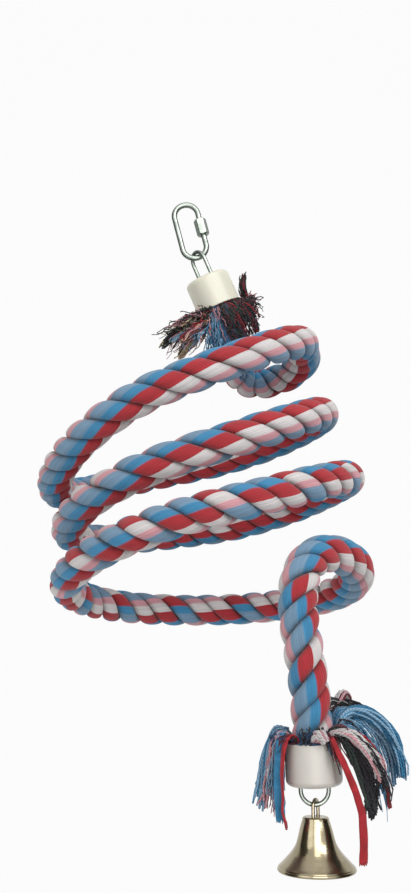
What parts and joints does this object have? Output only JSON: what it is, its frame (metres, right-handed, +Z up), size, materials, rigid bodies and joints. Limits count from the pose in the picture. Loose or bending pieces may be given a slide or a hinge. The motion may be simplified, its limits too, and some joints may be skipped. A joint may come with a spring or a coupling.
{
  "type": "hanging spiral rope perch",
  "caption": "Hanging spiral perch for a cage bird: wire-cored striped cotton rope with end ferrules, frayed tassels, a quick link at the top and a bell at the bottom.",
  "frame": {"origin": "inside top of the quick link, where the perch hangs from its ring or hook", "axes": "+Z up, -Y towards the front, +X to the right seen from the front"},
  "size_m": [0.2037, 0.1978, 0.391],
  "materials": {
    "zinc_steel": "zinc plated",
    "plain_steel": "bare",
    "nickel": "polished nickel plating",
    "bell_steel": "bare",
    "ferrule_plastic": "satin",
    "rope_cotton": "twisted cotton yarn",
    "yarn_blue": "frayed cotton",
    "yarn_pale": "frayed cotton",
    "yarn_red": "frayed cotton",
    "yarn_white": "frayed cotton",
    "yarn_pink": "frayed cotton",
    "yarn_black": "frayed cotton"
  },
  "bodies": {
    "link": {"quick_link": "zinc_steel"},
    "nut": {"quick_link_nut": "zinc_steel"},
    "perch": {"top_eye": "zinc_steel", "top_anchor_plate": "plain_steel", "top_ferrule": "ferrule_plastic", "top_yarn_roots": "yarn_red", "rope": "rope_cotton", "core_wire": "plain_steel", "bottom_yarn_roots": "yarn_blue", "bottom_ferrule": "ferrule_plastic", "bottom_anchor_plate": "plain_steel", "bottom_eye": "zinc_steel", "skirt_black_left": "yarn_black", "skirt_red_left": "yarn_red", "skirt_pink_left": "yarn_pink", "skirt_blue_front": "yarn_blue", "skirt_blue_low": "yarn_blue", "skirt_red_right": "yarn_red", "skirt_black_right": "yarn_black", "skirt_black_back": "yarn_black", "tassel_pale_left": "yarn_pale", "tassel_pink_left": "yarn_pink", "strip_blue_left": "yarn_blue", "strip_red_left": "yarn_red", "tassel_blue_right": "yarn_blue", "strip_red_right": "yarn_red", "tassel_white_right": "yarn_white", "tassel_black_right": "yarn_black", "strip_red_front": "yarn_red", "tassel_black_back": "yarn_black", "tassel_white_front": "yarn_white"},
    "bell": {"bell_shell": "nickel", "bell_washer": "bell_steel", "bell_loop": "nickel"},
    "clapper": {"clapper_wire": "bell_steel", "clapper_ball": "bell_steel"}
  },
  "joints": [
    {"name": "nut_slide", "type": "slide", "parent": "link", "child": "nut", "axis": [0.2419, 0, -0.9703], "range_m": [0, 0.006]},
    {"name": "perch_swing", "type": "hinge", "parent": "link", "child": "perch", "pos_m": [0.00861, 0, -0.03454], "axis": [0.9703, 0, 0.2419], "range_deg": [-40, 40]},
    {"name": "bell_swing", "type": "hinge", "parent": "perch", "child": "bell", "pos_m": [0.06863, -0.0716, -0.35622], "axis": [0.9996, 0, 0.03], "range_deg": [-40, 40]},
    {"name": "clapper_swing", "type": "hinge", "parent": "bell", "child": "clapper", "pos_m": [0.06863, -0.0716, -0.36752], "axis": [0.4384, 0.8988, 0], "range_deg": [-28, 28]}
  ]
}
